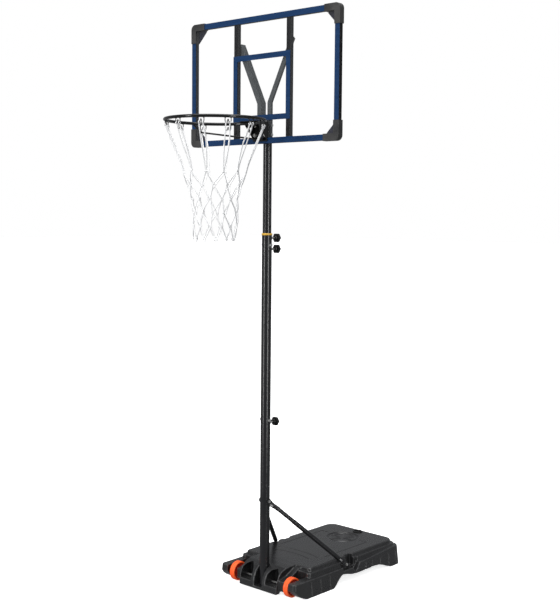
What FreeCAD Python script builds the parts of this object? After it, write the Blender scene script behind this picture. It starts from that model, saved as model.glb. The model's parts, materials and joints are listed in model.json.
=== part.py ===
import FreeCAD, Part
import math
import os

# Portable basketball hoop: ballast tank on two wheels, telescoping pole, framed clear
# backboard, rim with net.  Millimetres, +Z up, the hoop side faces -Y.
# Shapes are drawn with the pole axis at x = 0, y = 0 and moved by POLE_Y when saved.

# ---- driving dimensions ----
POLE_Y = -105.0

UPPER_OD = 40.0
MID_OD = 46.5
TUBE_WALL = 1.6
SWAGE_OD = 43.3
FOOT_Z = 22.0
SEAM_Z = 758.0
SWAGE_TOP_Z = 858.0
MID_TOP_Z = 1668.0
COLLAR_TOP_Z = 1677.0
COLLAR_OD = 49.0
UPPER_BOTTOM_Z = 1283.0
UPPER_TOP_Z = 2185.0
HOLE_PITCH = 82.0
HEIGHT_BOLT_Z = 1623.0
HOLE_D = 9.4
BOLT_D = 8.0
JOINT_BOLT_Z = 808.0
STRUT_BOLT_Z = 424.0
KNOB_Z = (1655.0, 1604.0, 792.0)
KNOB_FACE = 63.0
KNOB_D = 40.0

BOARD_W = 916.0
BOARD_Z0 = 2081.0
BOARD_Z1 = 2662.0
CAP_PROUD = 3.0
RAIL_FACE = 26.0
RAIL_DEEP = 19.0
RAIL_WALL = 1.4
CAP_LEG = 88.0
CAP_R = 25.0
PANEL_T = 3.0
PANEL_FRONT = -47.0
PRINT_T = 0.4
GUSSET_LEG = 52.0
UPRIGHT_X = 162.5
UPRIGHT_W = 27.0
TARGET_BAR = 25.0
TARGET_Z0 = 2188.0
TARGET_Z1 = 2488.0

ARM_T = 3.0
ARM_FLANGE = 23.5
ARM_WEB = 33.0
ARM_Z0 = 2104.0
ARM_BEND_Z = 2272.0
ARM_TOP_Z = 2547.0
ARM_BOLT_Z = (2126.0, 2168.0)
ARM_SLOPE = 0.485

RING_R = 218.0
RING_TUBE = 7.0
RING_Y = -336.0
RING_Z = 2170.0
BRACKET_W = 88.0
RIM_BOLT_X = 32.0
RIM_BOLT_Z = (2122.0, 2164.0)
HOOKS = 12
HOOK_DROP = 30.0
NET_PROFILE = ((206.0, 2142.0), (141.0, 1947.0), (111.0, 1870.0), (97.0, 1754.0), (95.0, 1645.0))

TANK_BOTTOM_W = 492.0
TANK_TOP_W = 474.0
TANK_FRONT = -50.0
TANK_REAR = 770.0
SKIRT_Z = 82.0
SKIRT_REAR_Z = 96.0
STEP_Z = 105.0
PLATEAU_Z = 122.0
PLATEAU_W = 412.0
PLATEAU_FRONT = 96.0
PLATEAU_REAR = 746.0
FILLER_Y = 710.0
WHEEL_R = 46.0
WHEEL_W = 28.0
WHEEL_X = 172.0
AXLE_Z = 48.0
AXLE_D = 10.0
STRUT_FOOT = (224.0, 336.0, 88.0)
STRUT_POCKET_X = 212.0
EMBLEM_Y = 588.0
EMBLEM_R = 84.0
GROOVE_W = 6.4
GROOVE_DEEP = 3.0
STRUT_D = 22.0

os.makedirs("parts", exist_ok=True)


def vec(x, y, z):
    return FreeCAD.Vector(x, y, z)


def save(name, shape):
    moved = shape.copy()
    moved.translate(vec(0, POLE_Y, 0))
    moved.exportStep("parts/" + name + ".step")


def box(x0, x1, y0, y1, z0, z1):
    return Part.makeBox(x1 - x0, y1 - y0, z1 - z0, vec(x0, y0, z0))


def rod(start, end, radius):
    a = vec(*start)
    b = vec(*end)
    return Part.makeCylinder(radius, (b - a).Length, a, b - a)


def tube(start, end, outer, inner):
    a = vec(*start)
    b = vec(*end)
    way = (b - a).normalize()
    bore = Part.makeCylinder(inner, (b - a).Length + 2, a - way, way)
    return rod(start, end, outer).cut(bore)


def prism(points, direction):
    wire = Part.makePolygon([vec(*p) for p in points] + [vec(*points[0])])
    return Part.Face(wire).extrude(vec(*direction))


def fused(shapes):
    whole = shapes[0]
    for other in shapes[1:]:
        whole = whole.fuse(other)
    return whole.removeSplitter()


def cut_all(shape, tools):
    for tool in tools:
        shape = shape.cut(tool)
    return shape


def mirror_x(shape):
    return shape.mirror(vec(0, 0, 0), vec(1, 0, 0))


def hexagon(centre, axis, across, height):
    # hexagonal bar standing on centre along axis ("x" or "y"), signed height
    radius = across / math.sqrt(3.0)
    points = []
    for k in range(6):
        a = math.radians(60 * k + 30)
        u = radius * math.cos(a)
        w = radius * math.sin(a)
        if axis == "x":
            points.append((centre[0], centre[1] + u, centre[2] + w))
        else:
            points.append((centre[0] + u, centre[1], centre[2] + w))
    if axis == "x":
        return prism(points, (height, 0, 0))
    return prism(points, (0, height, 0))


def edges_along(shape, axis, keep):
    found = []
    for edge in shape.Edges:
        if not isinstance(edge.Curve, Part.Line):
            continue
        a = edge.Vertexes[0].Point
        b = edge.Vertexes[-1].Point
        way = (b - a).normalize()
        along = abs({"x": way.x, "y": way.y, "z": way.z}[axis])
        if along > 0.96 and keep((a + b) * 0.5):
            found.append(edge)
    return found


# ---- ballast tank ----
def ring_outline(half, front, rear, front_r, rear_r, z):
    # rounded rectangle, symmetric about x = 0
    corners = [(-half, front, front_r, 180), (half, front, front_r, 270),
               (half, rear, rear_r, 0), (-half, rear, rear_r, 90)]
    edges = []
    ends = []
    for x, y, r, start in corners:
        cx = x - math.copysign(r, x)
        cy = y + r if start >= 180 else y - r
        pts = []
        for turn in (0, 45, 90):
            a = math.radians(start + turn)
            pts.append(vec(cx + r * math.cos(a), cy + r * math.sin(a), z))
        ends.append(pts)
    for k in range(4):
        pts = ends[k]
        edges.append(Part.Arc(pts[0], pts[1], pts[2]).toShape())
        edges.append(Part.makeLine(pts[2], ends[(k + 1) % 4][0]))
    return Part.Wire(edges)


def soft_block(half, front, rear, front_r, rear_r, z0, z1, draft, soft):
    # drafted block with softened top edge; sizes are given at the top of the straight wall
    rings = [(draft, z0), (0.0, z1 - soft), (-0.3 * soft, z1 - 0.3 * soft), (-soft, z1)]
    wires = []
    for grow, z in rings:
        wires.append(ring_outline(half + grow, front - grow, rear + grow,
                                  front_r + grow, rear_r + grow, z))
    return Part.makeLoft(wires, True, True)


def make_tank():
    hb = TANK_BOTTOM_W / 2
    ht = TANK_TOP_W / 2
    hp = PLATEAU_W / 2
    skirt = soft_block(ht, TANK_FRONT, TANK_REAR - 8, 14, 44, 0, SKIRT_REAR_Z, hb - ht, 5)
    # skirt top, level in front and rising to the rear corners
    slope = [(-300, -100, SKIRT_Z), (-300, 470, SKIRT_Z), (-300, 690, SKIRT_REAR_Z + 1),
             (-300, 900, SKIRT_REAR_Z + 1), (-300, 900, 140), (-300, -100, 140)]
    skirt = skirt.cut(prism(slope, (600, 0, 0)))
    skirt = skirt.cut(box(-150, 150, -80, 30, -1, 140))
    step = soft_block(hp + 13, 72, PLATEAU_REAR + 9, 14, 42, 72, STEP_Z, 3, 3)
    top = soft_block(hp, PLATEAU_FRONT - 6, PLATEAU_REAR, 14, 46, 72, PLATEAU_Z, 3, 5)
    nose_profile = [(140, PLATEAU_Z), (60, PLATEAU_Z - 1), (22, 118), (-8, 108), (-28, 90), (-40, 66),
                    (-46, 42), (-48, 8), (-20, 8), (-20, 16), (140, 16)]
    nose = prism([(-118, y, z) for y, z in nose_profile], (236, 0, 0))
    # bearing wall between nose and wheel, set back so that the wheel shows
    wall = [(0, 16), (-32, 26), (-32, 72), (20, 84), (76, 112), (140, 118), (140, 16)]
    walls = [prism([(side * 117, y, z) for y, z in wall], (side * 33, 0, 0)) for side in (-1, 1)]
    tank = fused([skirt, step, top, nose] + walls)

    cuts = []
    toe = [(-90, -1), (32, -1), (6, 8), (-16, 19), (-34, 33), (-47, 49), (-90, 56)]
    vee = [(366, 70), (396, 42), (430, 82), (430, 110), (366, 110)]
    for side in (-1, 1):
        def both(x0, x1, y0, y1, z0, z1):
            return box(min(side * x0, side * x1), max(side * x0, side * x1), y0, y1, z0, z1)
        # wheel notch, strut pocket with its V shaped lower lip
        cuts.append(both(150, 195, -90, 74, -1, 140))
        cuts.append(both(STRUT_POCKET_X, 300, 300, 405, 66, 140))
        cuts.append(both(192, 300, 352, 405, 66, 140))
        cuts.append(prism([(side * 214, y, z) for y, z in vee], (side * 80, 0, 0)))
        # front corners of the outer blocks lifted off the floor
        cuts.append(prism([(side * 170, y, z) for y, z in toe], (side * 180, 0, 0)))
        # half round recess beside the pole slot
        cx = side * 80
        arch = rod((cx, -70, 76), (cx, 30, 76), 35)
        cuts.append(arch.fuse(box(cx - 35, cx + 35, -70, 30, 40, 76)))
        # flutes down the side wall
        for y in (60, 128, 196, 470, 520, 588, 656, 716):
            foot = vec(side * (hb + 1.5), y, -2)
            head = vec(side * (ht + 2.3), y, SKIRT_Z - 8)
            cuts.append(Part.makeCylinder(5.0, (head - foot).Length, foot, head - foot))
    # rear wall flutes
    for x in (-150, -75, 0, 75, 150):
        foot = vec(x, TANK_REAR + 3.0, -2)
        head = vec(x, TANK_REAR - 8 + 2.6, SKIRT_Z - 6)
        cuts.append(Part.makeCylinder(5.0, (head - foot).Length, foot, head - foot))
    # space between front and rear feet
    arch = [(222, -1), (242, 14), (264, 33), (279, 44), (296, 50), (328, 45), (362, 37), (406, 33),
            (497, 34), (543, 35), (579, 32), (614, 22), (638, 12), (680, -1)]
    cuts.append(prism([(-300, y, z) for y, z in arch], (600, 0, 0)))
    # space between the wheels, under the nose
    cuts.append(box(-150, 150, -20, 150, -1, 16))
    # slot for the pole foot
    cuts.append(rod((0, 0, 20), (0, 0, 140), 25.5))
    cuts.append(box(-25.5, 25.5, -70, 0, 20, 140))
    # relief under each strut and the screw hole at its foot
    head = vec(MID_OD / 2 + 1.5, 0, STRUT_BOLT_Z)
    foot = vec(*STRUT_FOOT)
    up = foot + (head - foot).normalize() * 96
    for side in (-1, 1):
        cuts.append(rod((side * foot.x, foot.y, foot.z), (side * up.x, up.y, up.z), STRUT_D / 2 + 3.5))
        inner = (side * (foot.x - 17), foot.y, foot.z)
        cuts.append(rod(inner, (side * foot.x, foot.y, foot.z), BOLT_D / 2))
    # axle bore
    cuts.append(rod((-205, 0, AXLE_Z), (205, 0, AXLE_Z), AXLE_D / 2))
    tank = cut_all(tank, cuts)

    # filler pocket and neck
    tank = tank.cut(rod((0, FILLER_Y, PLATEAU_Z - 3), (0, FILLER_Y, PLATEAU_Z + 5), 27))
    # raised round panel with plain radial ribs in a shallow dish
    dish = rod((0, EMBLEM_Y, PLATEAU_Z - 5), (0, EMBLEM_Y, PLATEAU_Z + 3), EMBLEM_R)
    tank = tank.cut(dish)
    ribs = [tube((0, EMBLEM_Y, PLATEAU_Z - 6), (0, EMBLEM_Y, PLATEAU_Z - 1), EMBLEM_R - 14, EMBLEM_R - 22)]
    for k in range(3):
        reach = EMBLEM_R - 20
        rib = box(-reach, reach, EMBLEM_Y - 3.5, EMBLEM_Y + 3.5, PLATEAU_Z - 6, PLATEAU_Z - 1)
        rib.rotate(vec(0, EMBLEM_Y, 0), vec(0, 0, 1), 60 * k)
        ribs.append(rib)
    tank = fused([tank] + ribs)
    # shallow grooves on the plateau
    grooves = []
    half = GROOVE_W / 2
    floor_z = PLATEAU_Z - GROOVE_DEEP
    for side in (-1, 1):
        corner = [(146 - half, 266), (146 + half, 266), (146 + half, 598 + half), (98, 598 + half),
                  (98, 598 - half), (146 - half, 598 - half)]
        grooves.append(prism([(side * x, y, floor_z) for x, y in corner], (0, 0, 8)))
    for radius, centre_y, reach in ((380, -122, 132), (330, -118, 112)):
        arc = tube((0, centre_y, floor_z), (0, centre_y, floor_z + 8), radius + half, radius - half)
        grooves.append(arc.common(box(-reach, reach, 150, 300, 100, 160)))
    tank = cut_all(tank, grooves)

    # hollow for water or sand
    cavity = fused([
        box(-180, 180, 158, 715, 58, 112),
        box(-222, 222, 158, 290, 58, 78),
        box(-222, 222, 460, 715, 58, 78),
        box(-222, 222, 158, 212, 6, 60),
        box(-222, 222, 690, 730, 6, 60),
    ])
    throat = rod((0, FILLER_Y, 100), (0, FILLER_Y, PLATEAU_Z + 2), 18)
    tank = tank.cut(cavity).cut(throat)
    return tank


save("tank", make_tank())

# ---- filler cap ----
cap = rod((0, FILLER_Y, PLATEAU_Z - 2.6), (0, FILLER_Y, PLATEAU_Z + 5), 24)
cap = cap.makeFillet(2, [e for e in cap.Edges if e.BoundBox.ZMin > PLATEAU_Z + 4.9])
cap = cap.cut(tube((0, FILLER_Y, PLATEAU_Z + 2), (0, FILLER_Y, PLATEAU_Z + 6), 19, 15))
grip = box(-15, 15, FILLER_Y - 3, FILLER_Y + 3, PLATEAU_Z + 4, PLATEAU_Z + 9)
plug = rod((0, FILLER_Y, PLATEAU_Z - 14), (0, FILLER_Y, PLATEAU_Z - 2), 17)
save("filler_cap", fused([cap, grip, plug]))

# ---- axle and wheels ----
save("axle_rod", rod((-204, 0, AXLE_Z), (204, 0, AXLE_Z), AXLE_D / 2))


def make_wheel():
    half = WHEEL_W / 2
    wheel = rod((-half, 0, 0), (half, 0, 0), WHEEL_R)
    wheel = wheel.makeFillet(4, [e for e in wheel.Edges if e.Length > 200])
    for x0, x1 in ((-half - 1, -half + 5), (half - 5, half + 1)):
        wheel = wheel.cut(tube((x0, 0, 0), (x1, 0, 0), WHEEL_R - 7, 12))
    spokes = []
    for k in range(6):
        rib = box(-half + 3, half - 3, -2, 2, 10, WHEEL_R - 5)
        rib.rotate(vec(0, 0, 0), vec(1, 0, 0), 60 * k)
        spokes.append(rib)
    wheel = fused([wheel] + spokes)
    wheel = wheel.cut(rod((-half - 2, 0, 0), (half + 2, 0, 0), AXLE_D / 2 + 0.4))
    groove = tube((-1.2, 0, 0), (1.2, 0, 0), WHEEL_R + 3, WHEEL_R - 1.2)
    return wheel.cut(groove)


wheel = make_wheel()
for name, x in (("wheel_left", -WHEEL_X), ("wheel_right", WHEEL_X)):
    copy = wheel.copy()
    copy.translate(vec(x, 0, AXLE_Z))
    save(name, copy)

# ---- pole ----
swage = tube((0, 0, SEAM_Z), (0, 0, SWAGE_TOP_Z), SWAGE_OD / 2, SWAGE_OD / 2 - TUBE_WALL)
shank = tube((0, 0, FOOT_Z), (0, 0, SEAM_Z), MID_OD / 2, MID_OD / 2 - TUBE_WALL)
neck = tube((0, 0, SEAM_Z - 4), (0, 0, SEAM_Z), MID_OD / 2 - 1, SWAGE_OD / 2 - TUBE_WALL)
lower_pole = fused([shank, neck, swage])
lower_pole = cut_all(lower_pole, [
    rod((-60, 0, AXLE_Z), (60, 0, AXLE_Z), AXLE_D / 2),
    rod((-60, 0, STRUT_BOLT_Z), (60, 0, STRUT_BOLT_Z), BOLT_D / 2),
    rod((-60, 0, JOINT_BOLT_Z), (60, 0, JOINT_BOLT_Z), BOLT_D / 2),
])
save("lower_pole", lower_pole)

mid_pole = tube((0, 0, SEAM_Z), (0, 0, MID_TOP_Z), MID_OD / 2, SWAGE_OD / 2)
mid_cuts = [
    rod((-60, 0, JOINT_BOLT_Z), (60, 0, JOINT_BOLT_Z), BOLT_D / 2),
    rod((-60, 0, HEIGHT_BOLT_Z), (60, 0, HEIGHT_BOLT_Z), HOLE_D / 2),
]
for z in KNOB_Z:
    mid_cuts.append(rod((0, 10, z), (0, 40, z), BOLT_D / 2 + 0.4))
save("mid_pole", cut_all(mid_pole, mid_cuts))

collar = tube((0, 0, MID_TOP_Z), (0, 0, COLLAR_TOP_Z), COLLAR_OD / 2, UPPER_OD / 2 + 0.4)
sleeve = tube((0, 0, KNOB_Z[0] + 5), (0, 0, MID_TOP_Z + 1), SWAGE_OD / 2, UPPER_OD / 2 + 0.4)
collar = fused([collar, sleeve])
rims = []
for e in collar.Edges:
    bounds = e.BoundBox
    if bounds.ZMin > MID_TOP_Z - 0.1 and bounds.ZLength < 0.1 and bounds.XMax > COLLAR_OD / 2 - 0.1:
        rims.append(e)
collar = collar.makeFillet(2, rims)
save("collar", collar)

upper_pole = tube((0, 0, UPPER_BOTTOM_Z), (0, 0, UPPER_TOP_Z), UPPER_OD / 2, UPPER_OD / 2 - TUBE_WALL)
holes = []
for k in range(-1, 6):
    z = HEIGHT_BOLT_Z + k * HOLE_PITCH
    holes.append(rod((-60, 0, z), (60, 0, z), HOLE_D / 2))
for z in ARM_BOLT_Z:
    holes.append(rod((-60, 0, z), (60, 0, z), BOLT_D / 2))
save("upper_pole", cut_all(upper_pole, holes))

pole_cap = rod((0, 0, UPPER_TOP_Z), (0, 0, UPPER_TOP_Z + 9), UPPER_OD / 2 - 0.2)
pole_cap = pole_cap.makeFillet(7, [e for e in pole_cap.Edges if e.BoundBox.ZMin > UPPER_TOP_Z + 8])
pole_cap = pole_cap.fuse(rod((0, 0, UPPER_TOP_Z - 9), (0, 0, UPPER_TOP_Z + 1), UPPER_OD / 2 - TUBE_WALL))
save("pole_cap", pole_cap.removeSplitter())

# ---- fasteners through the pole ----
def cross_bolt(z, reach_right, reach_left):
    # head on +X, nut on -X
    return fused([
        rod((-reach_left - 9, 0, z), (reach_right, 0, z), BOLT_D / 2),
        hexagon((reach_right, 0, z), "x", 13, 5.5),
        hexagon((-reach_left, 0, z), "x", 13, -6.5),
    ])


half_mid = MID_OD / 2
save("joint_bolt", cross_bolt(JOINT_BOLT_Z, half_mid, half_mid))
save("strut_top_bolt", cross_bolt(STRUT_BOLT_Z, half_mid + 3, half_mid + 3))
height_bolt = fused([
    rod((-half_mid - 8, 0, HEIGHT_BOLT_Z), (half_mid + 0.6, 0, HEIGHT_BOLT_Z), BOLT_D / 2),
    hexagon((half_mid + 0.4, 0, HEIGHT_BOLT_Z), "x", 14, 6),
])
save("height_bolt", height_bolt)

# ---- clamping knobs ----
for k, z in enumerate(KNOB_Z):
    tag = str(k + 1)
    nut = hexagon((0, half_mid - 1.5, z), "y", 15, 9.5)
    nut = nut.cut(rod((0, 0, z), (0, 60, z), BOLT_D / 2 + 0.4)).cut(
        rod((0, 0, z - 12), (0, 0, z + 12), half_mid))
    save("knob_nut_" + tag, nut)
    face = KNOB_FACE
    handle = rod((0, face - 4, z), (0, face + 12, z), KNOB_D / 2 - 3)
    lobes = []
    for j in range(6):
        a = math.radians(60 * j)
        x = (KNOB_D / 2 - 6) * math.cos(a)
        w = (KNOB_D / 2 - 6) * math.sin(a)
        lobes.append(rod((x, face - 4, z + w), (x, face + 12, z + w), 6))
    handle = fused([handle] + lobes + [rod((0, face - 14, z), (0, face, z), 10)])
    tip = UPPER_OD / 2 + 0.6 if k < 2 else half_mid - TUBE_WALL + 0.2
    stud = rod((0, tip, z), (0, face + 6, z), BOLT_D / 2)
    save("knob_handle_" + tag, handle.cut(stud))
    save("knob_stud_" + tag, stud)

# ---- struts ----
def oval(centre, across, thick, count=16):
    # closed outline in a plane facing X: across is along the given direction in Y-Z
    points = []
    (cx, cy, cz), (dy, dz) = centre, across[1]
    half = across[0] / 2
    for j in range(count):
        a = 2 * math.pi * j / count
        u = half * math.cos(a)
        points.append(vec(cx + thick / 2 * math.sin(a), cy + u * dy, cz + u * dz))
    return Part.makePolygon(points + [points[0]])


def make_strut():
    top = vec(half_mid + 1.5, 0, STRUT_BOLT_Z)
    foot = vec(*STRUT_FOOT)
    way = (foot - top).normalize()
    flat = vec(0, way.y, way.z).normalize()
    side = (-flat.z, flat.y)
    dy = side[0] * 13
    dz = side[1] * 13

    def plate(centre, sense):
        # flattened end lying in a Y-Z plane, round about the bolt
        x = centre.x - 1.5
        far = centre + flat * (sense * 26)
        outline_pts = [(x, centre.y - dy, centre.z - dz), (x, centre.y + dy, centre.z + dz),
                       (x, far.y + dy, far.z + dz), (x, far.y - dy, far.z - dz)]
        disc = rod((x, centre.y, centre.z), (x + 3, centre.y, centre.z), 13)
        return disc.fuse(prism(outline_pts, (3, 0, 0)))

    def neck(centre, sense):
        rings = []
        for t, wide, thick, lean in ((18, 25.2, 2.6, 0), (34, 24, 10, 0.45), (50, STRUT_D, STRUT_D - 3, 1)):
            base = centre + flat * (sense * t * (1 - lean)) + way * (sense * t * lean)
            rings.append(oval((base.x, base.y, base.z), (wide, side), thick))
        rings.append(oval(tuple(centre + way * (sense * 62)), (STRUT_D, side), STRUT_D))
        return Part.makeLoft(rings, True, True)

    a = top + way * 58
    b = foot - way * 58
    joint = a + (b - a) * 0.26
    strut = fused([
        plate(top, 1), plate(foot, -1), neck(top, 1), neck(foot, -1),
        rod(tuple(a), tuple(joint), STRUT_D / 2 - 1.2),
        rod(tuple(joint), tuple(b), STRUT_D / 2),
    ])
    for p in (top, foot):
        strut = strut.cut(rod((p.x - 20, p.y, p.z), (p.x + 10, p.y, p.z), BOLT_D / 2))
    return strut


strut = make_strut()
save("strut_right", strut)
save("strut_left", mirror_x(strut))

fx, fy, fz = STRUT_FOOT
foot_bolt = fused([
    rod((fx - 16, fy, fz), (fx + 2, fy, fz), BOLT_D / 2),
    rod((fx + 1.5, fy, fz), (fx + 3, fy, fz), 6.5),
    hexagon((fx + 3, fy, fz), "x", 11, 5.5),
])
save("strut_foot_bolt_right", foot_bolt)
save("strut_foot_bolt_left", mirror_x(foot_bolt))

# ---- backboard frame ----
half_w = BOARD_W / 2
rail_x = half_w - CAP_PROUD
rail_z0 = BOARD_Z0 + CAP_PROUD
rail_z1 = BOARD_Z1 - CAP_PROUD
RAIL_FRONT = PANEL_FRONT + PANEL_T
rail_back = RAIL_FRONT + RAIL_DEEP
in_x = rail_x - RAIL_FACE
in_z0 = rail_z0 + RAIL_FACE
in_z1 = rail_z1 - RAIL_FACE


def rounded_plate(hx, z0, z1, y0, y1, radius):
    plate = box(-hx, hx, y0, y1, z0, z1)
    corners = edges_along(plate, "y", lambda p: True)
    return plate.makeFillet(radius, corners)


outline = rounded_plate(rail_x, rail_z0, rail_z1, PANEL_FRONT - 5, rail_back + 5, CAP_R - CAP_PROUD)
panel = rounded_plate(rail_x, rail_z0, rail_z1, PANEL_FRONT, RAIL_FRONT, CAP_R - CAP_PROUD)
print_y = PANEL_FRONT - PRINT_T
border = rounded_plate(rail_x, rail_z0, rail_z1, print_y, PANEL_FRONT, CAP_R - CAP_PROUD)
border = border.cut(box(-in_x, in_x, print_y - 1, PANEL_FRONT + 1, in_z0, in_z1))
w = RAIL_WALL


def rail(x0, x1, z0, z1):
    bar = box(x0, x1, RAIL_FRONT, rail_back, z0, z1)
    long_axis = "x" if x1 - x0 > z1 - z0 else "z"
    bar = bar.makeFillet(2.5, edges_along(bar, long_axis, lambda p: True))
    if long_axis == "x":
        hollow = box(x0 - 1, x1 + 1, RAIL_FRONT + w, rail_back - w, z0 + w, z1 - w)
    else:
        hollow = box(x0 + w, x1 - w, RAIL_FRONT + w, rail_back - w, z0 - 1, z1 + 1)
    return bar.common(outline).cut(hollow)


save("rail_top", rail(-in_x, in_x, in_z1, rail_z1))
save("rail_bottom", rail(-in_x, in_x, rail_z0, in_z0))
save("rail_left", rail(-rail_x, -in_x, rail_z0, rail_z1))
save("rail_right", rail(in_x, rail_x, rail_z0, rail_z1))
save("border_print", border)
holes = [rod((x, -60, z), (x, 0, z), BOLT_D / 2) for x in (-RIM_BOLT_X, RIM_BOLT_X) for z in RIM_BOLT_Z]
panel = cut_all(panel, holes)
save("panel", panel)

for name, side in (("upright_left", -1), ("upright_right", 1)):
    cx = side * UPRIGHT_X
    hw = UPRIGHT_W / 2
    bar = box(cx - hw, cx + hw, RAIL_FRONT, rail_back, in_z0, in_z1)
    bar = bar.makeFillet(2, edges_along(bar, "z", lambda p: True))
    bar = bar.cut(box(cx - hw + w, cx + hw - w, RAIL_FRONT + w, rail_back - w, in_z0 - 1, in_z1 + 1))
    save(name, bar)

print_x = UPRIGHT_X + UPRIGHT_W / 2
outer = box(-print_x, print_x, print_y, PANEL_FRONT, TARGET_Z0, TARGET_Z1)
inner = box(-print_x + TARGET_BAR, print_x - TARGET_BAR, PANEL_FRONT - 2, PANEL_FRONT + 1,
            TARGET_Z0 + TARGET_BAR, TARGET_Z1 - TARGET_BAR)
save("target_print", outer.cut(inner))

# corner caps and gusset plates
cap_outer = rounded_plate(half_w, BOARD_Z0, BOARD_Z1, print_y - 2.5, rail_back + 2.5, CAP_R)
cap_inner = box(-in_x + 2.5, in_x - 2.5, -70, 0, in_z0 + 2.5, in_z1 - 2.5)
frame_space = rounded_plate(rail_x, rail_z0, rail_z1, print_y, rail_back, CAP_R - CAP_PROUD)
frame_space = frame_space.cut(box(-in_x, in_x, RAIL_FRONT, 0, in_z0, in_z1))
frame_space = frame_space.cut(box(-in_x, in_x, -70, PANEL_FRONT, in_z0, in_z1))
cap_loop = cap_outer.cut(cap_inner).cut(frame_space)
for tag, sx, top in (("top_left", -1, True), ("top_right", 1, True),
                     ("bottom_left", -1, False), ("bottom_right", 1, False)):
    xs = sorted((sx * half_w, sx * (half_w - CAP_LEG)))
    xs_far = sorted((sx * (half_w + 1), sx * (half_w - CAP_LEG)))
    zs = (BOARD_Z1 - CAP_LEG, BOARD_Z1 + 1) if top else (BOARD_Z0 - 1, BOARD_Z0 + CAP_LEG)
    save("corner_cap_" + tag, cap_loop.common(box(xs_far[0], xs_far[1], -60, 0, zs[0], zs[1])))
    gx = sx * (in_x - 2.5)
    gz = in_z1 - 2.5 if top else in_z0 + 2.5
    dz = -1 if top else 1
    y = rail_back - 3
    leg = GUSSET_LEG
    outline_pts = [(gx, y, gz), (gx - sx * leg, y, gz), (gx - sx * leg, y, gz + dz * 5),
                   (gx - sx * 5, y, gz + dz * leg), (gx, y, gz + dz * leg)]
    save("gusset_" + tag, prism(outline_pts, (0, 3, 0)))

# ---- angle arms between pole top and uprights ----
ARM_X = UPPER_OD / 2
arm_y = rail_back


def band(offset):
    # outline in X-Z following the arm's inner edge, widened outward by offset
    run = ARM_TOP_Z - ARM_BEND_Z
    tip = ARM_X + ARM_SLOPE * run
    angle = math.atan(ARM_SLOPE)
    shift = offset / math.cos(angle)
    drop = offset * math.tan(angle / 2)
    return [(ARM_X, ARM_Z0), (ARM_X, ARM_BEND_Z), (tip, ARM_TOP_Z), (tip + shift, ARM_TOP_Z),
            (ARM_X + offset, ARM_BEND_Z - drop), (ARM_X + offset, ARM_Z0)]


flange = prism([(x, arm_y, z) for x, z in band(ARM_FLANGE)], (0, ARM_T, 0))
web = prism([(x, arm_y, z) for x, z in band(ARM_T)], (0, ARM_WEB, 0))
arm = fused([flange, web])
for z in ARM_BOLT_Z:
    arm = arm.cut(rod((0, 0, z), (60, 0, z), BOLT_D / 2))
screw_z = ARM_TOP_Z - 26
arm = arm.cut(rod((UPRIGHT_X, arm_y - 30, screw_z), (UPRIGHT_X, arm_y + 30, screw_z), 3))
save("arm_right", arm)
save("arm_left", mirror_x(arm))
for k, z in enumerate(ARM_BOLT_Z):
    save("arm_bolt_" + str(k + 1), cross_bolt(z, ARM_X + ARM_T, ARM_X + ARM_T))
for name, side in (("arm_screw_left", -1), ("arm_screw_right", 1)):
    x = side * UPRIGHT_X
    screw = fused([
        rod((x, arm_y, screw_z), (x, arm_y + ARM_T, screw_z), 3),
        hexagon((x, arm_y + ARM_T, screw_z), "y", 10, 4),
    ])
    save(name, screw)

# ---- rim ----
ring = Part.makeTorus(RING_R, RING_TUBE, vec(0, RING_Y, RING_Z), vec(0, 0, 1))
save("rim_ring", ring)

hb = BRACKET_W / 2
plate_y = print_y
back_z0 = in_z0 - 16
back_z1 = RING_Z + RING_TUBE + 4
plate = box(-hb, hb, plate_y - 4, plate_y, back_z0, back_z1)
spacer = box(-hb, hb, plate_y, PANEL_FRONT, in_z0, back_z1)
shelf = prism([(-hb, plate_y - 2, back_z1 - 4), (hb, plate_y - 2, back_z1 - 4),
               (hb + 10, plate_y - 82, back_z1 - 4), (-hb - 10, plate_y - 82, back_z1 - 4)], (0, 0, 4))
cheek = prism([(hb - 4, plate_y - 2, back_z0 + 6), (hb - 4, plate_y - 2, back_z1),
               (hb - 4, plate_y - 66, back_z1), (hb - 4, plate_y - 66, back_z1 - 8)], (4, 0, 0))
bracket = fused([plate, spacer, shelf, cheek, mirror_x(cheek)])
bracket = bracket.cut(ring)
back_plate = box(-hb, hb, RAIL_FRONT, RAIL_FRONT + 4, in_z0 + 1, back_z1)
rim_bolts = []
number = 1
for z in RIM_BOLT_Z:
    for x in (-RIM_BOLT_X, RIM_BOLT_X):
        bolt = fused([
            rod((x, plate_y - 5, z), (x, RAIL_FRONT + 14, z), BOLT_D / 2),
            rod((x, plate_y - 5.6, z), (x, plate_y - 4, z), 8),
            hexagon((x, plate_y - 5.6, z), "y", 12, -5.5),
            hexagon((x, RAIL_FRONT + 4, z), "y", 12, 6),
        ])
        rim_bolts.append(bolt)
        save("rim_bolt_" + str(number), bolt)
        number += 1
save("rim_bracket", cut_all(bracket, rim_bolts))
save("rim_back_plate", cut_all(back_plate, rim_bolts))


def bent_rod(points, radius):
    pieces = []
    for a, b in zip(points[:-1], points[1:]):
        pieces.append(rod(a, b, radius))
    for p in points[1:-1]:
        pieces.append(Part.makeSphere(radius, vec(*p)))
    return fused(pieces)


side_x = 0.95 * RING_R
side_y = RING_Y + 0.31 * RING_R
start = (20.0, plate_y - 8, back_z0 + 10)
end = (side_x, side_y, RING_Z - RING_TUBE)
kink = (start[0] + 0.87 * (end[0] - start[0]), start[1] + 0.87 * (end[1] - start[1]), RING_Z - 40)
brace_path = [start, kink, end]
brace = bent_rod(brace_path, 4.0).fuse(rod((20, plate_y - 4, start[2]), (20, plate_y - 10, start[2]), 6))
brace = brace.cut(ring).removeSplitter()
save("rim_brace_right", brace)
save("rim_brace_left", mirror_x(brace))


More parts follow.
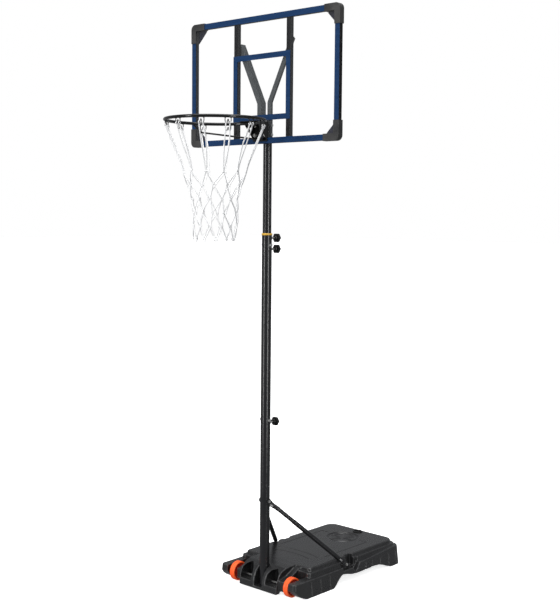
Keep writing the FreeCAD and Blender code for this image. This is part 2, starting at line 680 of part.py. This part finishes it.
def make_hook(angle):
    # open ram's horn of wire welded under the ring
    points = []
    for u, drop in ((-13, 5.5), (-11, 16), (-4, 26), (0, HOOK_DROP), (4, 26), (11, 16), (13, 5.5)):
        turn = angle + u / RING_R
        points.append((RING_R * math.cos(turn), RING_Y + RING_R * math.sin(turn), RING_Z - drop))
    return bent_rod(points, 1.9).cut(ring)


hooks = []
for k in range(HOOKS):
    angle = math.radians(360.0 / HOOKS * k)
    hooks.append(make_hook(angle))
save("rim_hooks", Part.makeCompound(hooks))

# ---- net, a thin open sleeve ----
points = [vec(r, RING_Y, z) for r, z in NET_PROFILE]
points += [vec(r - 1.2, RING_Y, z) for r, z in reversed(NET_PROFILE)]
section = Part.Face(Part.makePolygon(points + [points[0]]))
net = section.revolve(vec(0, RING_Y, 0), vec(0, 0, 1), 360)
round_brace = bent_rod(brace_path, 6.5)
save("net", cut_all(net, [round_brace, mirror_x(round_brace)]))
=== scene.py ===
import json
import math
import random

import bmesh
import bpy
from mathutils import Matrix, Vector


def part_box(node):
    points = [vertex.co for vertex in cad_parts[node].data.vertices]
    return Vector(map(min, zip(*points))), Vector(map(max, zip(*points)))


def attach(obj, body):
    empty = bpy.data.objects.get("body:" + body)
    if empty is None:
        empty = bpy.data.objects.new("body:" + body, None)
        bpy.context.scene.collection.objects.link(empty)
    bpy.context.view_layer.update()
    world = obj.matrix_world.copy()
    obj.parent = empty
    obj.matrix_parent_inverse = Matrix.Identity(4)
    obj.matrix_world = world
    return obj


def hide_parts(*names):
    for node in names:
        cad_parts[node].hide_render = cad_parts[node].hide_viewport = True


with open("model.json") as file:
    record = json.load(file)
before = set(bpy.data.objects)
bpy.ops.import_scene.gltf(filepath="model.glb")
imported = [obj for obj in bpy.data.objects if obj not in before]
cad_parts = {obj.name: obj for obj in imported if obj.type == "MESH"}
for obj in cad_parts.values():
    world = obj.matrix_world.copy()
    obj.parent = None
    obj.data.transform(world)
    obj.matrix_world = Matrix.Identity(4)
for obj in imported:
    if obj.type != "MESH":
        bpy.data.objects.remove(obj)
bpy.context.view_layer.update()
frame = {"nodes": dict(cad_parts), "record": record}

nodes = frame["nodes"]
scene = bpy.context.scene

# ---------------------------------------------------------------- materials


def new_material(name):
    mat = bpy.data.materials.new(name)
    mat.use_nodes = True
    nt = mat.node_tree
    nt.nodes.clear()
    out = nt.nodes.new("ShaderNodeOutputMaterial")
    shader = nt.nodes.new("ShaderNodeBsdfPrincipled")
    nt.links.new(shader.outputs["BSDF"], out.inputs["Surface"])
    return mat, nt, shader


def noise(nt, coords, scale, detail=3.0, rough=0.5):
    n = nt.nodes.new("ShaderNodeTexNoise")
    n.inputs["Scale"].default_value = scale
    n.inputs["Detail"].default_value = detail
    n.inputs["Roughness"].default_value = rough
    nt.links.new(coords, n.inputs["Vector"])
    return n


def span(nt, value, lo, hi, from_lo=0.3, from_hi=0.7):
    m = nt.nodes.new("ShaderNodeMapRange")
    m.inputs["From Min"].default_value = from_lo
    m.inputs["From Max"].default_value = from_hi
    m.inputs["To Min"].default_value = lo
    m.inputs["To Max"].default_value = hi
    nt.links.new(value, m.inputs["Value"])
    return m.outputs["Result"]


def blend_colour(nt, fac, a, b):
    m = nt.nodes.new("ShaderNodeMix")
    m.data_type = "RGBA"
    m.inputs["A"].default_value = (*a, 1)
    m.inputs["B"].default_value = (*b, 1)
    nt.links.new(fac, m.inputs["Factor"])
    return m.outputs["Result"]


GRAIN_DEPTH = 0.0006  # metres, depth of the fine grain in the normal
# noise scale that breaks up the lighter edges, which are partly wear and partly painted highlight
WEAR_AND_GLINT_SCALE = 55.0


def coated(name, dark, light, rough, grain, bump, metal=0.0, patch=9.0, stretch=(1, 1, 1),
           specular=0.5, wear_and_edge_highlight=None):
    """Painted or moulded surface: broad tone drift, and fine grain in the normal and the gloss.

    grain and patch are noise scales. The edge tuple gives the pointiness where the lighter edges
    begin, the one where they are full, and their colour; those edges are partly rubbed wear and
    partly a painted highlight along the edges.
    """
    mat, nt, sh = new_material(name)
    co = nt.nodes.new("ShaderNodeTexCoord")
    mp = nt.nodes.new("ShaderNodeMapping")
    mp.inputs["Scale"].default_value = stretch
    nt.links.new(co.outputs["Object"], mp.inputs["Vector"])
    xyz = mp.outputs["Vector"]
    broad = noise(nt, xyz, patch, 4.0, 0.6)
    fine = noise(nt, xyz, grain, 2.0, 0.5)
    tone = blend_colour(nt, span(nt, broad.outputs["Fac"], 0, 1), dark, light)
    # lighter convex edges broken up by noise: partly rubbed wear, partly a painted highlight along the edges
    if wear_and_edge_highlight:
        geo = nt.nodes.new("ShaderNodeNewGeometry")
        edge = span(nt, geo.outputs["Pointiness"], 0, 1, wear_and_edge_highlight[0], wear_and_edge_highlight[1])
        wear_and_glint_breakup = noise(nt, xyz, WEAR_AND_GLINT_SCALE, 6.0, 0.7)
        mul = nt.nodes.new("ShaderNodeMath")
        mul.operation = "MULTIPLY"
        nt.links.new(edge, mul.inputs[0])
        nt.links.new(span(nt, wear_and_glint_breakup.outputs["Fac"], 0.2, 1, 0.4, 0.6), mul.inputs[1])
        m = nt.nodes.new("ShaderNodeMix")
        m.data_type = "RGBA"
        m.inputs["B"].default_value = (*wear_and_edge_highlight[2], 1)
        nt.links.new(mul.outputs[0], m.inputs["Factor"])
        nt.links.new(tone, m.inputs["A"])
        tone = m.outputs["Result"]
    nt.links.new(tone, sh.inputs["Base Color"])
    gloss = nt.nodes.new("ShaderNodeMath")
    gloss.operation = "ADD"
    nt.links.new(span(nt, fine.outputs["Fac"], rough - 0.05, rough + 0.05), gloss.inputs[0])
    nt.links.new(span(nt, broad.outputs["Fac"], -0.03, 0.04), gloss.inputs[1])
    nt.links.new(gloss.outputs[0], sh.inputs["Roughness"])
    b = nt.nodes.new("ShaderNodeBump")
    b.inputs["Strength"].default_value = bump
    b.inputs["Distance"].default_value = GRAIN_DEPTH
    nt.links.new(fine.outputs["Fac"], b.inputs["Height"])
    nt.links.new(b.outputs["Normal"], sh.inputs["Normal"])
    sh.inputs["Metallic"].default_value = metal
    sh.inputs["Specular IOR Level"].default_value = specular
    return mat


# each: darker and lighter tone, roughness, grain, bump
MAT = {
    # lighter tank edges: partly rubbed wear, partly a painted highlight along the edges
    "tank_plastic": coated("tank_plastic", (0.0085, 0.0085, 0.009), (0.015, 0.015, 0.0155),
                           0.27, 520, 0.16, patch=5.0, specular=0.60,
                           wear_and_edge_highlight=(0.505, 0.55, (0.06, 0.06, 0.062))),
    "frame_black": coated("frame_black", (0.003, 0.003, 0.004), (0.006, 0.006, 0.007), 0.46, 900, 0.18,
                          specular=0.16),
    "pole_black": coated("pole_black", (0.004, 0.004, 0.005), (0.008, 0.008, 0.009), 0.23, 30, 0.01,
                         specular=0.55, stretch=(1, 1, 0.35)),
    "arm_grey": coated("arm_grey", (0.036, 0.040, 0.043), (0.050, 0.055, 0.058), 0.44, 800, 0.22,
                       specular=0.3),
    "rim_black": coated("rim_black", (0.003, 0.003, 0.003), (0.006, 0.006, 0.006), 0.18, 700, 0.08,
                        specular=0.4),
    "cap_plastic": coated("cap_plastic", (0.018, 0.018, 0.019), (0.048, 0.047, 0.046), 0.40, 650, 0.30,
                          specular=0.35),
    "gusset_plastic": coated("gusset_plastic", (0.006, 0.006, 0.016), (0.010, 0.010, 0.024), 0.45, 650, 0.25,
                             specular=0.25),
    "black_plastic": coated("black_plastic", (0.004, 0.004, 0.004), (0.008, 0.008, 0.008), 0.32, 700, 0.20,
                            specular=0.35),
    "yellow_plastic": coated("yellow_plastic", (0.70, 0.40, 0.030), (0.80, 0.47, 0.045), 0.38, 600, 0.12),
    "orange_plastic": coated("orange_plastic", (0.92, 0.095, 0.014), (1.0, 0.125, 0.020), 0.38, 600, 0.16),
    # dark red for the recessed web disc and spokes: the orange plastic painted darker as painted shade of
    # the recess
    "wheel_web": coated("wheel_web", (0.40, 0.012, 0.006), (0.52, 0.020, 0.008), 0.48, 600, 0.16),
    "blue_print": coated("blue_print", (0.0045, 0.026, 0.082), (0.007, 0.033, 0.100), 0.22, 420, 0.05,
                         specular=0.3, stretch=(1, 1, 12)),
    "zinc": coated("zinc", (0.50, 0.50, 0.48), (0.68, 0.68, 0.66), 0.30, 500, 0.20, metal=1.0),
    "net_cord": coated("net_cord", (0.84, 0.84, 0.84), (0.95, 0.95, 0.95), 0.75, 1400, 0.50, specular=0.15),
}


def clear_sheet():
    mat, nt, sh = new_material("clear_panel")
    co = nt.nodes.new("ShaderNodeTexCoord")
    haze = noise(nt, co.outputs["Object"], 3.5, 3.0)
    nt.links.new(blend_colour(nt, haze.outputs["Fac"], (0.88, 0.92, 0.95), (0.95, 0.97, 0.98)),
                 sh.inputs["Base Color"])
    nt.links.new(span(nt, haze.outputs["Fac"], 0.04, 0.09), sh.inputs["Roughness"])
    sh.inputs["Alpha"].default_value = 0.012
    sh.inputs["Specular IOR Level"].default_value = 0.25
    sh.inputs["IOR"].default_value = 1.49
    return mat


MAT["clear_panel"] = clear_sheet()


def paint(obj, key):
    obj.data.materials.clear()
    obj.data.materials.append(MAT[key])


for row in frame["record"]["subparts"]:
    paint(nodes[row["node"]], row["material_slot"])


def soften(node, width, segments=2, limit=28):
    """Clean, slightly rounded edges on a pressed or moulded CAD piece."""
    ob = nodes[node]
    weld = ob.modifiers.new("weld", "WELD")
    weld.merge_threshold = 0.00001
    flat = ob.modifiers.new("flat", "DECIMATE")
    flat.decimate_type = "DISSOLVE"
    flat.angle_limit = math.radians(0.5)
    bevel = ob.modifiers.new("edge", "BEVEL")
    bevel.width = width
    bevel.segments = segments
    bevel.limit_method = "ANGLE"
    bevel.angle_limit = math.radians(limit)
    bevel.use_clamp_overlap = True
    bevel.harden_normals = True
    ob.data.shade_smooth()
    smooth = ob.modifiers.new("normals", "WEIGHTED_NORMAL")
    smooth.keep_sharp = True


CORNERS = ("top_left", "top_right", "bottom_left", "bottom_right")
for corner in CORNERS:
    soften("corner_cap_" + corner, 0.0022, 3)
    soften("gusset_" + corner, 0.0009)
for side in ("left", "right"):
    soften("arm_" + side, 0.0007)
    soften("rail_" + side, 0.0005)
    soften("upright_" + side, 0.0005)
for node in ("rail_top", "rail_bottom"):
    soften(node, 0.0005)
for node in ("rim_bracket", "rim_back_plate"):
    soften(node, 0.0008)


# ---------------------------------------------------------------- CAD places, read from the frame
def mid(node):
    lo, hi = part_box(node)
    return (lo + hi) / 2


POLE_Y = mid("lower_pole").y
ring_lo, ring_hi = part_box("rim_ring")
RING = (ring_lo + ring_hi) / 2
RING_TUBE_R = (ring_hi.z - ring_lo.z) / 2
RING_R = (ring_hi.x - ring_lo.x) / 2 - RING_TUBE_R
NET_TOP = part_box("net")[1].z


def mesh_object(name, verts, faces, key, body, smooth=True):
    me = bpy.data.meshes.new(name)
    me.from_pydata([tuple(v) for v in verts], [], faces)
    me.validate()
    me.update()
    if smooth:
        me.shade_smooth()
    me.materials.append(MAT[key])
    ob = bpy.data.objects.new(name, me)
    scene.collection.objects.link(ob)
    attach(ob, body)
    return ob


def face_outward(ob):
    bm = bmesh.new()
    bm.from_mesh(ob.data)
    bmesh.ops.recalc_face_normals(bm, faces=bm.faces)
    bm.to_mesh(ob.data)
    bm.free()


# ---------------------------------------------------------------- swept tubes
def smooth_path(points, step, closed=False):
    """Catmull-Rom through the points, resampled about every step metres."""
    pts = [Vector(p) for p in points]
    n = len(pts)
    out = []
    last = n if closed else n - 1
    for i in range(last):
        p1, p2 = pts[i], pts[(i + 1) % n]
        p0 = pts[(i - 1) % n] if closed or i > 0 else p1 * 2 - p2
        p3 = pts[(i + 2) % n] if closed or i + 2 < n else p2 * 2 - p1
        count = max(2, int((p2 - p1).length / step))
        for k in range(count):
            t = k / count
            out.append(0.5 * ((2 * p1) + (p2 - p0) * t + (2 * p0 - 5 * p1 + 4 * p2 - p3) * t * t
                              + (3 * p1 - p0 - 3 * p2 + p3) * t ** 3))
    if not closed:
        out.append(pts[-1])
    return out


def sweep(path, radius, sides, verts, faces, closed=False, twist=0.0, strands=0, depth=0.0):
    """Adds a round or stranded tube along path to verts and faces.

    radius is a number or a function of 0..1 along the path. twist is the strands' turn in radians
    per metre, and depth is the groove between them as a share of the radius.
    """
    n = len(path)
    base = len(verts)
    tangents = []
    for i in range(n):
        a = path[i - 1] if closed or i > 0 else path[i]
        b = path[(i + 1) % n] if closed or i + 1 < n else path[i]
        tangents.append((b - a).normalized())
    normal = tangents[0].orthogonal().normalized()
    run = 0.0
    for i in range(n):
        t = tangents[i]
        normal = (normal - t * normal.dot(t)).normalized()
        side = t.cross(normal)
        if i:
            run += (path[i] - path[i - 1]).length
        r = radius(i / (n - 1)) if callable(radius) else radius
        for k in range(sides):
            a = 2 * math.pi * k / sides
            grow = 1.0
            if strands:
                grow = 1.0 - depth * (0.5 - 0.5 * math.cos(strands * (a - twist * run)))
            verts.append(path[i] + (normal * math.cos(a) + side * math.sin(a)) * r * grow)
    rings = n if closed else n - 1
    for i in range(rings):
        j = (i + 1) % n
        for k in range(sides):
            m = (k + 1) % sides
            faces.append((base + i * sides + k, base + i * sides + m,
                          base + j * sides + m, base + j * sides + k))
    if not closed:
        faces.append([base + k for k in reversed(range(sides))])
        faces.append([base + (n - 1) * sides + k for k in range(sides)])


# ---------------------------------------------------------------- net
def on_ring(angle, radius, z):
    return Vector((RING.x + radius * math.cos(angle), RING.y + radius * math.sin(angle), z))


HOOKS = 12
CORD_R = 0.0029
CORD_LAY = {"twist": 2 * math.pi / 0.0165, "strands": 3, "depth": 0.16}
ROW_KNOT = 0.0044  # half the width of a knot between two rows
END_KNOT = 0.0046  # and of one in the first or the last row
HOOK_GAP = 0.0085  # half the distance between a hook's two cords
HOOK_SEAT = 0.0285  # how far below the ring's centre the cords hang
rng = random.Random(11)


def build_net():
    verts, faces = [], []
    rows = [  # knot height, net radius there
        (NET_TOP - 0.195, 0.141), (NET_TOP - 0.252, 0.116), (NET_TOP - 0.311, 0.102),
        (NET_TOP - 0.371, 0.097), (NET_TOP - 0.431, 0.094), (NET_TOP - 0.490, 0.0915),
    ]
    pitch = 2 * math.pi / HOOKS
    grid = []
    for r, (z, rad) in enumerate(rows):
        ring = []
        for k in range(HOOKS):
            a = pitch * (k + 0.5 * (r % 2)) + rng.uniform(-0.055, 0.055) * (1 + 0.3 * r)
            ring.append(on_ring(a, rad + rng.uniform(-0.004, 0.0035), z + rng.uniform(-0.007, 0.006)))
        grid.append(ring)

    def strand(points):
        path = smooth_path(points, 0.0016)
        sweep(path, CORD_R, 9, verts, faces, **CORD_LAY)

    def knot(centre, size):
        """Two interlocked turns of cord round a crossing."""
        out = (centre - Vector((RING.x, RING.y, centre.z))).normalized()
        up = Vector((0, 0, 1))
        side = out.cross(up)
        for tilt, lift in ((0.5, 0.0009), (-0.55, -0.0009)):
            ring = []
            for j in range(10):
                t = 2 * math.pi * j / 10
                u = math.cos(t) * size
                v = math.sin(t) * size * 0.62
                ring.append(centre + side * (u * math.cos(tilt) - v * math.sin(tilt))
                            + up * (u * math.sin(tilt) + v * math.cos(tilt) + lift)
                            + out * (0.0012 * math.sin(2 * t)))
            path = smooth_path(ring, 0.0014, closed=True)
            sweep(path, CORD_R * 0.95, 8, verts, faces, closed=True, **CORD_LAY)

    # long pairs from each hook's loop to the first row of knots
    for k in range(HOOKS):
        a = pitch * k
        foot = grid[0][k]
        lean = rng.uniform(-0.004, 0.004)
        swell = on_ring(a, 1, 0) - Vector((RING.x, RING.y, 0))
        tang = Vector((-math.sin(a), math.cos(a), 0))
        for s in (-1, 1):
            top_pt = on_ring(a + s * HOOK_GAP / RING_R, RING_R - 0.001, RING.z - HOOK_SEAT)
            way = foot - top_pt
            pts = [top_pt + Vector((0, 0, 0.0065)) + swell * 0.0030,
                   top_pt + Vector((0, 0, 0.0045)) - swell * 0.0040,
                   top_pt + way * 0.06 + tang * s * 0.001,
                   top_pt + way * 0.40 + tang * (s * 0.0055 + lean) - swell * 0.002,
                   top_pt + way * 0.78 + tang * (s * 0.0035 + lean * 0.5) - swell * 0.004,
                   foot + tang * s * 0.0012]
            strand(pts)
            # loop that goes over the hook's curl
            loop = []
            for j in range(9):
                t = math.pi * (j / 8)
                loop.append(top_pt + Vector((0, 0, 0.0045 - 0.0062 * math.sin(t)))
                            + swell * (0.0050 * math.cos(t)))
            strand(loop)
        knot(foot, END_KNOT)

    # diamonds
    for r in range(len(rows) - 1):
        for k in range(HOOKS):
            here = grid[r][k]
            for d in (0, 1):
                other = (k + (d if r % 2 else d - 1)) % HOOKS
                there = grid[r + 1][other]
                centre = (here + there) / 2
                out = (centre - Vector((RING.x, RING.y, centre.z))).normalized()
                sag = out * rng.uniform(0.0005, 0.004) + Vector((0, 0, rng.uniform(-0.002, 0.002)))
                strand([here, here.lerp(there, 0.3) + sag * 0.8, here.lerp(there, 0.7) + sag, there])
            if r:
                knot(here, ROW_KNOT)
    # last row of knots, each with a short tail
    for k in range(HOOKS):
        here = grid[-1][k]
        knot(here, END_KNOT)
        out = (here - Vector((RING.x, RING.y, here.z))).normalized()
        tail = here + Vector((0, 0, -0.0065)) + out * rng.uniform(-0.002, 0.002)
        strand([here, (here + tail) / 2, tail])
    me = mesh_object("net_cords", verts, faces, "net_cord", "upper")
    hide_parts("net")


build_net()


# ---------------------------------------------------------------- ram's horn hooks
HOOK_WIRE_R = 0.0019


def build_hooks():
    verts, faces = [], []
    for k in range(HOOKS):
        a = 2 * math.pi * k / HOOKS

        def at(u, drop, out=0.0):
            return on_ring(a + u / RING_R, RING_R + out, RING.z - drop)
        # along the ring, and down from its centre: one curl, mirrored for the other
        profile = [(-0.0125, 0.0060), (-0.0132, 0.0130), (-0.0128, 0.0200), (-0.0108, 0.0262),
                   (-0.0074, HOOK_SEAT), (-0.0042, 0.0262), (-0.0026, 0.0205), (-0.0012, 0.0150),
                   (0.0, 0.0130)]
        pts = [at(u, d) for u, d in profile] + [at(-u, d) for u, d in reversed(profile[:-1])]
        sweep(smooth_path(pts, 0.0012), HOOK_WIRE_R, 12, verts, faces)
        # weld beads where the wire meets the ring
        for s in (-1, 1):
            c = at(s * 0.0125, 0.0074)
            bead = [c + Vector((0, 0, z)) for z in (0.0026, 0.0010, -0.0008, -0.0024)]
            size = (0.0016, 0.0034, 0.0031, 0.0019)
            sweep(bead, lambda t: size[min(3, int(round(t * 3)))], 12, verts, faces)
    ob = mesh_object("net_hooks", verts, faces, "rim_black", "upper")
    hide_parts("rim_hooks")


build_hooks()


# ---------------------------------------------------------------- blow-moulded tank
def shell_from(node, name, key, body, voxel, passes, fill=()):
    """Copy of a CAD node with its edges rounded the way a moulding is, standing in for the node.

    fill lists cylinders, each by centre, radius and height, that close openings first.
    """
    src = nodes[node]
    me = src.data.copy()
    bm = bmesh.new()
    bm.from_mesh(me)
    for centre, radius, height in fill:
        bmesh.ops.create_cone(bm, cap_ends=True, segments=48, radius1=radius, radius2=radius, depth=height,
                              matrix=Matrix.Translation(centre))
    bmesh.ops.remove_doubles(bm, verts=bm.verts, dist=1e-6)
    bm.to_mesh(me)
    bm.free()
    ob = bpy.data.objects.new(name, me)
    scene.collection.objects.link(ob)
    rm = ob.modifiers.new("remesh", "REMESH")
    rm.mode = "VOXEL"
    rm.voxel_size = voxel
    sm = ob.modifiers.new("soften", "SMOOTH")
    sm.factor = 0.5
    sm.iterations = passes
    bpy.context.view_layer.update()
    dg = bpy.context.evaluated_depsgraph_get()
    final = bpy.data.meshes.new_from_object(ob.evaluated_get(dg))
    ob.modifiers.clear()
    ob.data = final
    final.shade_smooth()
    final.materials.clear()
    final.materials.append(MAT[key])
    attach(ob, body)
    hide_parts(node)


# The filler neck is closed under its cap, so the remesh keeps the outer skin only.
cap_mid = mid("filler_cap")
NECK_PLUG = (Vector((cap_mid.x, cap_mid.y, 0.108)), 0.0186, 0.020)
TANK_VOXEL = 0.0023
shell_from("tank", "tank_shell", "tank_plastic", "base", TANK_VOXEL, 3, fill=[NECK_PLUG])


# ---------------------------------------------------------------- wheels
AXLE_BORE = 0.0056
HUB_R = 0.0122
SPOKES = 6
WEB_HALF = 0.30  # shares of the wheel's half width
SPOKE_HALF = 0.62


def lathe(profile, centre, sides, verts, faces):
    """Solid of revolution about the X line through centre. profile is a closed list of (x, radius)."""
    base = len(verts)
    n = len(profile)
    for k in range(sides):
        a = 2 * math.pi * k / sides
        for x, r in profile:
            verts.append(centre + Vector((x, r * math.cos(a), r * math.sin(a))))
    for k in range(sides):
        m = (k + 1) % sides
        for j in range(n):
            i = (j + 1) % n
            faces.append((base + k * n + j, base + k * n + i, base + m * n + i, base + m * n + j))


def build_wheel(node, body):
    lo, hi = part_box(node)
    c = (lo + hi) / 2
    half = (hi.x - lo.x) / 2
    rad = (hi.z - lo.z) / 2
    # tread with two ribs and rolled shoulders, and a hub, each a closed ring of its own
    verts, faces = [], []
    tread = []
    for x, r in ((-1.0, 0.85), (-1.0, 0.93), (-0.93, 0.975), (-0.80, 1.0), (-0.16, 1.0), (-0.10, 0.965),
                 (0.10, 0.965), (0.16, 1.0), (0.80, 1.0), (0.93, 0.975), (1.0, 0.93), (1.0, 0.85),
                 (0.93, 0.815), (0.60, 0.80), (-0.60, 0.80), (-0.93, 0.815)):
        tread.append((x * half, r * rad))
    lathe(tread, c, 96, verts, faces)
    hub = []
    for x, r in ((-1.0, AXLE_BORE), (-1.0, 0.0105), (-0.92, HUB_R), (0.92, HUB_R), (1.0, 0.0105),
                 (1.0, AXLE_BORE)):
        hub.append((x * half, r))
    lathe(hub, c, 48, verts, faces)
    tyre = mesh_object(node + "_tread", verts, faces, "orange_plastic", body, smooth=False)
    # recessed web disc and spokes in dark red: painted shade of the recess on the orange plastic
    verts, faces = [], []
    web = [(-WEB_HALF * half, 0.0115), (-WEB_HALF * half, 0.82 * rad),
           (WEB_HALF * half, 0.82 * rad), (WEB_HALF * half, 0.0115)]
    lathe(web, c, 96, verts, faces)
    for k in range(SPOKES):
        a = math.pi / 3 * k
        way = Vector((0, math.cos(a), math.sin(a)))
        across = Vector((0, -math.sin(a), math.cos(a)))
        base = len(verts)
        for r, wide in ((0.011, 0.0024), (rad * 0.83, 0.0017)):
            for x, t in ((-SPOKE_HALF, -1), (-SPOKE_HALF, 1), (SPOKE_HALF, 1), (SPOKE_HALF, -1)):
                verts.append(c + way * r + across * wide * t + Vector((x * half, 0, 0)))
        faces.append([base + j for j in (3, 2, 1, 0)])
        faces.append([base + j for j in (4, 5, 6, 7)])
        for j in range(4):
            m = (j + 1) % 4
            faces.append([base + j, base + m, base + 4 + m, base + 4 + j])
    disc = mesh_object(node + "_web", verts, faces, "wheel_web", body, smooth=False)
    face_outward(tyre)
    face_outward(disc)
    bevel = tyre.modifiers.new("edge", "BEVEL")
    bevel.width = 0.0007
    bevel.segments = 2
    bevel.limit_method = "ANGLE"
    bevel.angle_limit = math.radians(30)
    tyre.data.shade_smooth()
    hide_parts(node)


for side in ("left", "right"):
    build_wheel("wheel_" + side, "wheel_" + side)


# ---------------------------------------------------------------- star knobs
KNOB_GROWTH = 1.09  # the photograph's knobs are wider than the CAD handles
LOBES = 6
LOBE_DEPTH = 0.065  # half the difference between lobe and valley, as a share of the radius


def build_knob(number):
    """Lobed moulded knob on a round neck, turning about Y, in the place of the CAD handle."""
    node = "knob_handle_" + str(number)
    lo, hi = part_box(node)
    c = (lo + hi) / 2
    rad = KNOB_GROWTH * (hi.x - lo.x) / 2
    # distance from the neck's end, share of the lobed radius, radius of the round neck
    rings = [(0.0000, 0, 0.0092), (0.0012, 0, 0.0100), (0.0092, 0, 0.0100),
             (0.0098, 0.55, 0.0), (0.0100, 0.88, 0.0), (0.0108, 0.95, 0.0), (0.0124, 0.99, 0.0),
             (0.0150, 1.0, 0.0), (0.0208, 1.0, 0.0), (0.0236, 0.985, 0.0), (0.0252, 0.94, 0.0),
             (0.0260, 0.86, 0.0), (0.0258, 0.60, 0.0), (0.0248, 0.42, 0.0)]
    sides = 96
    verts, faces = [], []
    for d, share, neck in rings:
        for k in range(sides):
            a = 2 * math.pi * k / sides
            lobed = rad * (1 - LOBE_DEPTH + LOBE_DEPTH * math.cos(LOBES * a)) * share
            r = lobed if share else neck
            verts.append(Vector((c.x + r * math.cos(a), lo.y + d, c.z + r * math.sin(a))))
    for i in range(len(rings) - 1):
        for k in range(sides):
            m = (k + 1) % sides
            faces.append((i * sides + k, (i + 1) * sides + k, (i + 1) * sides + m, i * sides + m))
    faces.append(list(range(sides)))
    last = (len(rings) - 1) * sides
    faces.append([last + k for k in reversed(range(sides))])
    body = "knob_" + str(number)
    ob = mesh_object(body + "_star", verts, faces, "black_plastic", body)
    face_outward(ob)
    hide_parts(node)


for number in (1, 2, 3):
    build_knob(number)


# ---------------------------------------------------------------- stage, light, camera
FLOOR_HALF = 60.0
FLOOR_GAP = 0.0005  # the floor lies just under the feet


def floor_material():
    mat, nt, sh = new_material("floor")
    co = nt.nodes.new("ShaderNodeTexCoord")
    n = noise(nt, co.outputs["Object"], 2.0, 2.0)
    tone = blend_colour(nt, n.outputs["Fac"], (0.90, 0.90, 0.90), (0.92, 0.92, 0.92))
    nt.links.new(tone, sh.inputs["Base Color"])
    sh.inputs["Roughness"].default_value = 0.9
    sh.inputs["Specular IOR Level"].default_value = 0.0
    sh.inputs["Emission Color"].default_value = (1, 1, 1, 1)
    sh.inputs["Emission Strength"].default_value = 0.80
    return mat


me = bpy.data.meshes.new("floor")
me.from_pydata([(-FLOOR_HALF, -FLOOR_HALF, 0), (FLOOR_HALF, -FLOOR_HALF, 0),
                (FLOOR_HALF, FLOOR_HALF, 0), (-FLOOR_HALF, FLOOR_HALF, 0)], [], [(0, 1, 2, 3)])
floor = bpy.data.objects.new("floor", me)
me.materials.append(floor_material())
scene.collection.objects.link(floor)
floor.location.z = -FLOOR_GAP
# The floor glows a little, to read as white. Diffuse and glossy rays skip it, so it lights nothing.
floor.visible_glossy = False
floor.visible_diffuse = False


def area_light(name, loc, target, size, power):
    data = bpy.data.lights.new(name, "AREA")
    data.shape = "RECTANGLE"
    data.size, data.size_y = size
    data.energy = power
    ob = bpy.data.objects.new(name, data)
    ob.location = loc
    way = Vector(target) - Vector(loc)
    ob.rotation_euler = way.to_track_quat("-Z", "Y").to_euler()
    scene.collection.objects.link(ob)
    return ob


def sun_light(name, direction, power, spread):
    """Wide sun that shades surfaces and leaves no glint on them."""
    data = bpy.data.lights.new(name, "SUN")
    data.energy = power
    data.angle = math.radians(spread)
    ob = bpy.data.objects.new(name, data)
    ob.rotation_euler = Vector(direction).to_track_quat("-Z", "Y").to_euler()
    ob.visible_glossy = False
    scene.collection.objects.link(ob)


# The camera sees a white backdrop, and every other ray meets the dimmer sky that lights the object.
world = bpy.data.worlds.new("studio")
scene.world = world
world.use_nodes = True
nt = world.node_tree
nt.nodes.clear()
out = nt.nodes.new("ShaderNodeOutputWorld")
mix = nt.nodes.new("ShaderNodeMixShader")
seen = nt.nodes.new("ShaderNodeBackground")
lit = nt.nodes.new("ShaderNodeBackground")
path = nt.nodes.new("ShaderNodeLightPath")
seen.inputs["Color"].default_value = (1, 1, 1, 1)
seen.inputs["Strength"].default_value = 1.0
lit.inputs["Color"].default_value = (0.95, 0.97, 1.0, 1)
lit.inputs["Strength"].default_value = 0.32
nt.links.new(path.outputs["Is Camera Ray"], mix.inputs["Fac"])
nt.links.new(lit.outputs[0], mix.inputs[1])
nt.links.new(seen.outputs[0], mix.inputs[2])
nt.links.new(mix.outputs[0], out.inputs["Surface"])

area_light("strip_front", (-1.25, -5.3, 1.7), (0, POLE_Y, 1.5), (0.6, 4.2), 120)
strip_side = area_light("strip_side", (4.9, -0.9, 1.7), (0, POLE_Y, 1.4), (0.6, 4.2), 110)
strip_side.visible_diffuse = False  # it only draws the highlight down the tubes
area_light("overhead", (0.2, -0.2, 5.4), (0, 0, 0), (3.4, 3.4), 150)
sun_light("sky", (-0.28, 0.80, -0.70), 2.2, 80)
sun_light("back_fill", (0.5, -0.8, -0.5), 0.45, 100)

scene.view_settings.view_transform = "Standard"

EYE = (3.3943, -3.6500 + POLE_Y, 1.7613)
FOCAL, FRAME_HEIGHT = 1079.7, 600.0  # both in pixels of the 560 x 600 frame
SENSOR = 36.0
AZ, PITCH, ROLL = math.radians(42.19), math.radians(-4.50), math.radians(0.50)

cam_data = bpy.data.cameras.new("camera")
cam = bpy.data.objects.new("camera", cam_data)
scene.collection.objects.link(cam)
fw = Vector((-math.sin(AZ) * math.cos(PITCH), math.cos(AZ) * math.cos(PITCH), math.sin(PITCH)))
right0 = Vector((math.cos(AZ), math.sin(AZ), 0))
up0 = right0.cross(fw)
right = right0 * math.cos(ROLL) + up0 * math.sin(ROLL)
up = up0 * math.cos(ROLL) - right0 * math.sin(ROLL)
rot = Matrix((right, up, -fw)).transposed()
cam.matrix_world = Matrix.Translation(EYE) @ rot.to_4x4()
cam_data.sensor_width = SENSOR
cam_data.lens = FOCAL * SENSOR / FRAME_HEIGHT
cam_data.shift_x = -0.0003
cam_data.clip_end = 200
scene.camera = cam
